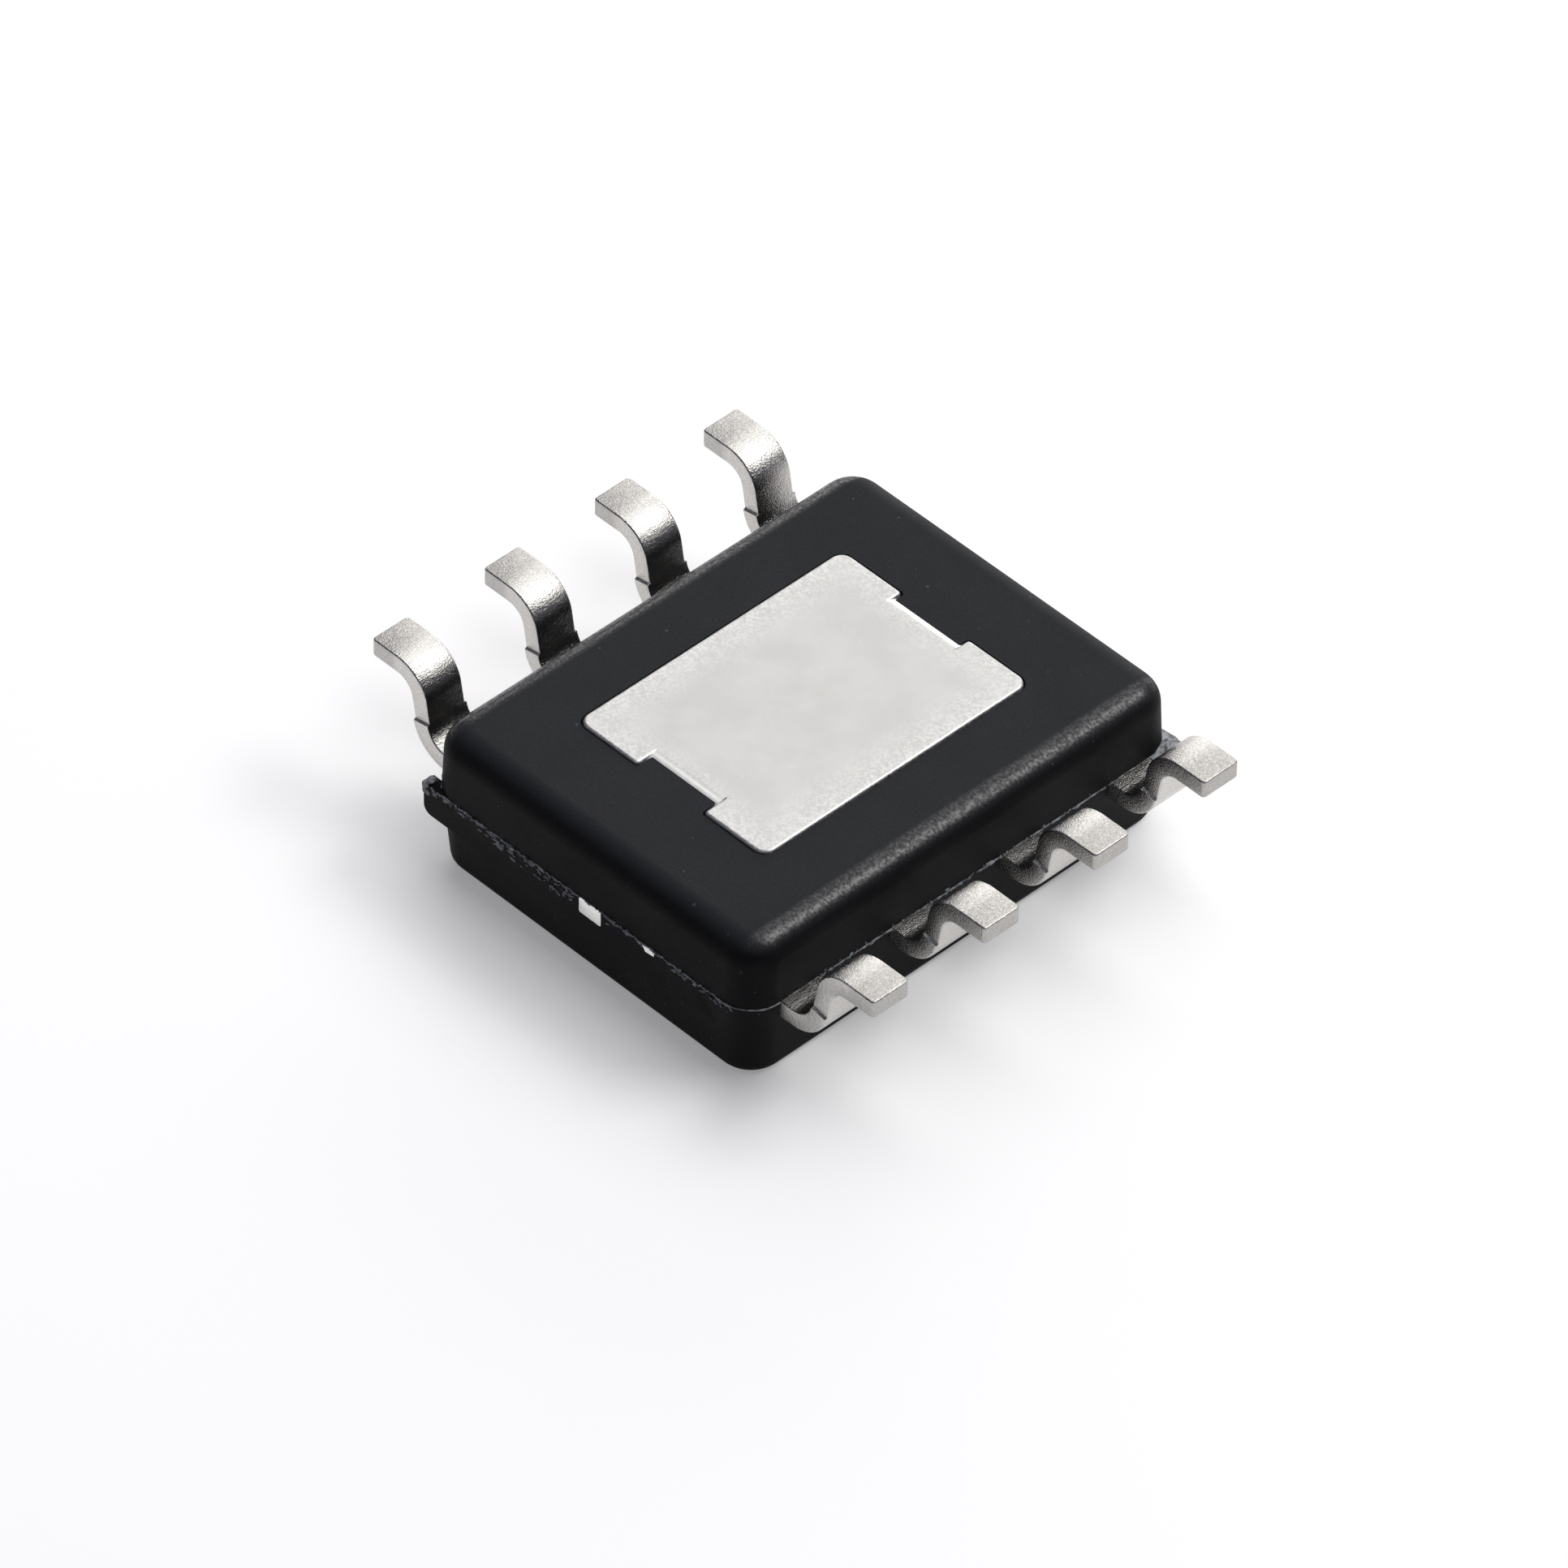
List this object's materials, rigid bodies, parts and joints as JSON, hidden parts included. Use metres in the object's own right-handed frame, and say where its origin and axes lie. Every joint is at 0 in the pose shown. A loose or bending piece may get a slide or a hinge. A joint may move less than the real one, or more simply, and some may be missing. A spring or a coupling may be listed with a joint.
{
  "type": "exposed-pad small-outline chip",
  "caption": "Small-outline surface-mount chip with gull-wing leads in two rows and an exposed thermal pad, lying on its marking face.",
  "frame": {"origin": "middle of the marking face, under the middle of the lead span", "axes": "+X across the lead rows, +Y along the body towards leads four and five, +Z from the marking face out of the exposed pad"},
  "size_m": [0.006, 0.005, 0.0015],
  "materials": {
    "mould_compound": "fine matte moulded",
    "pad_plating": "matte tin",
    "tin_plating": "satin tin",
    "silicon": "polished",
    "attach_epoxy": "silver-filled epoxy",
    "copper_wire": "drawn wire"
  },
  "bodies": {
    "root": {"moulded_body": "mould_compound", "die_pad": "pad_plating", "lead_1": "tin_plating", "lead_2": "tin_plating", "lead_3": "tin_plating", "lead_4": "tin_plating", "lead_5": "tin_plating", "lead_6": "tin_plating", "lead_7": "tin_plating", "lead_8": "tin_plating", "die": "silicon", "die_attach": "attach_epoxy", "bond_wire_1": "copper_wire", "bond_wire_2": "copper_wire", "bond_wire_3": "copper_wire", "bond_wire_4": "copper_wire", "bond_wire_5": "copper_wire", "bond_wire_6": "copper_wire", "bond_wire_7": "copper_wire", "bond_wire_8": "copper_wire"}
  },
  "joints": []
}
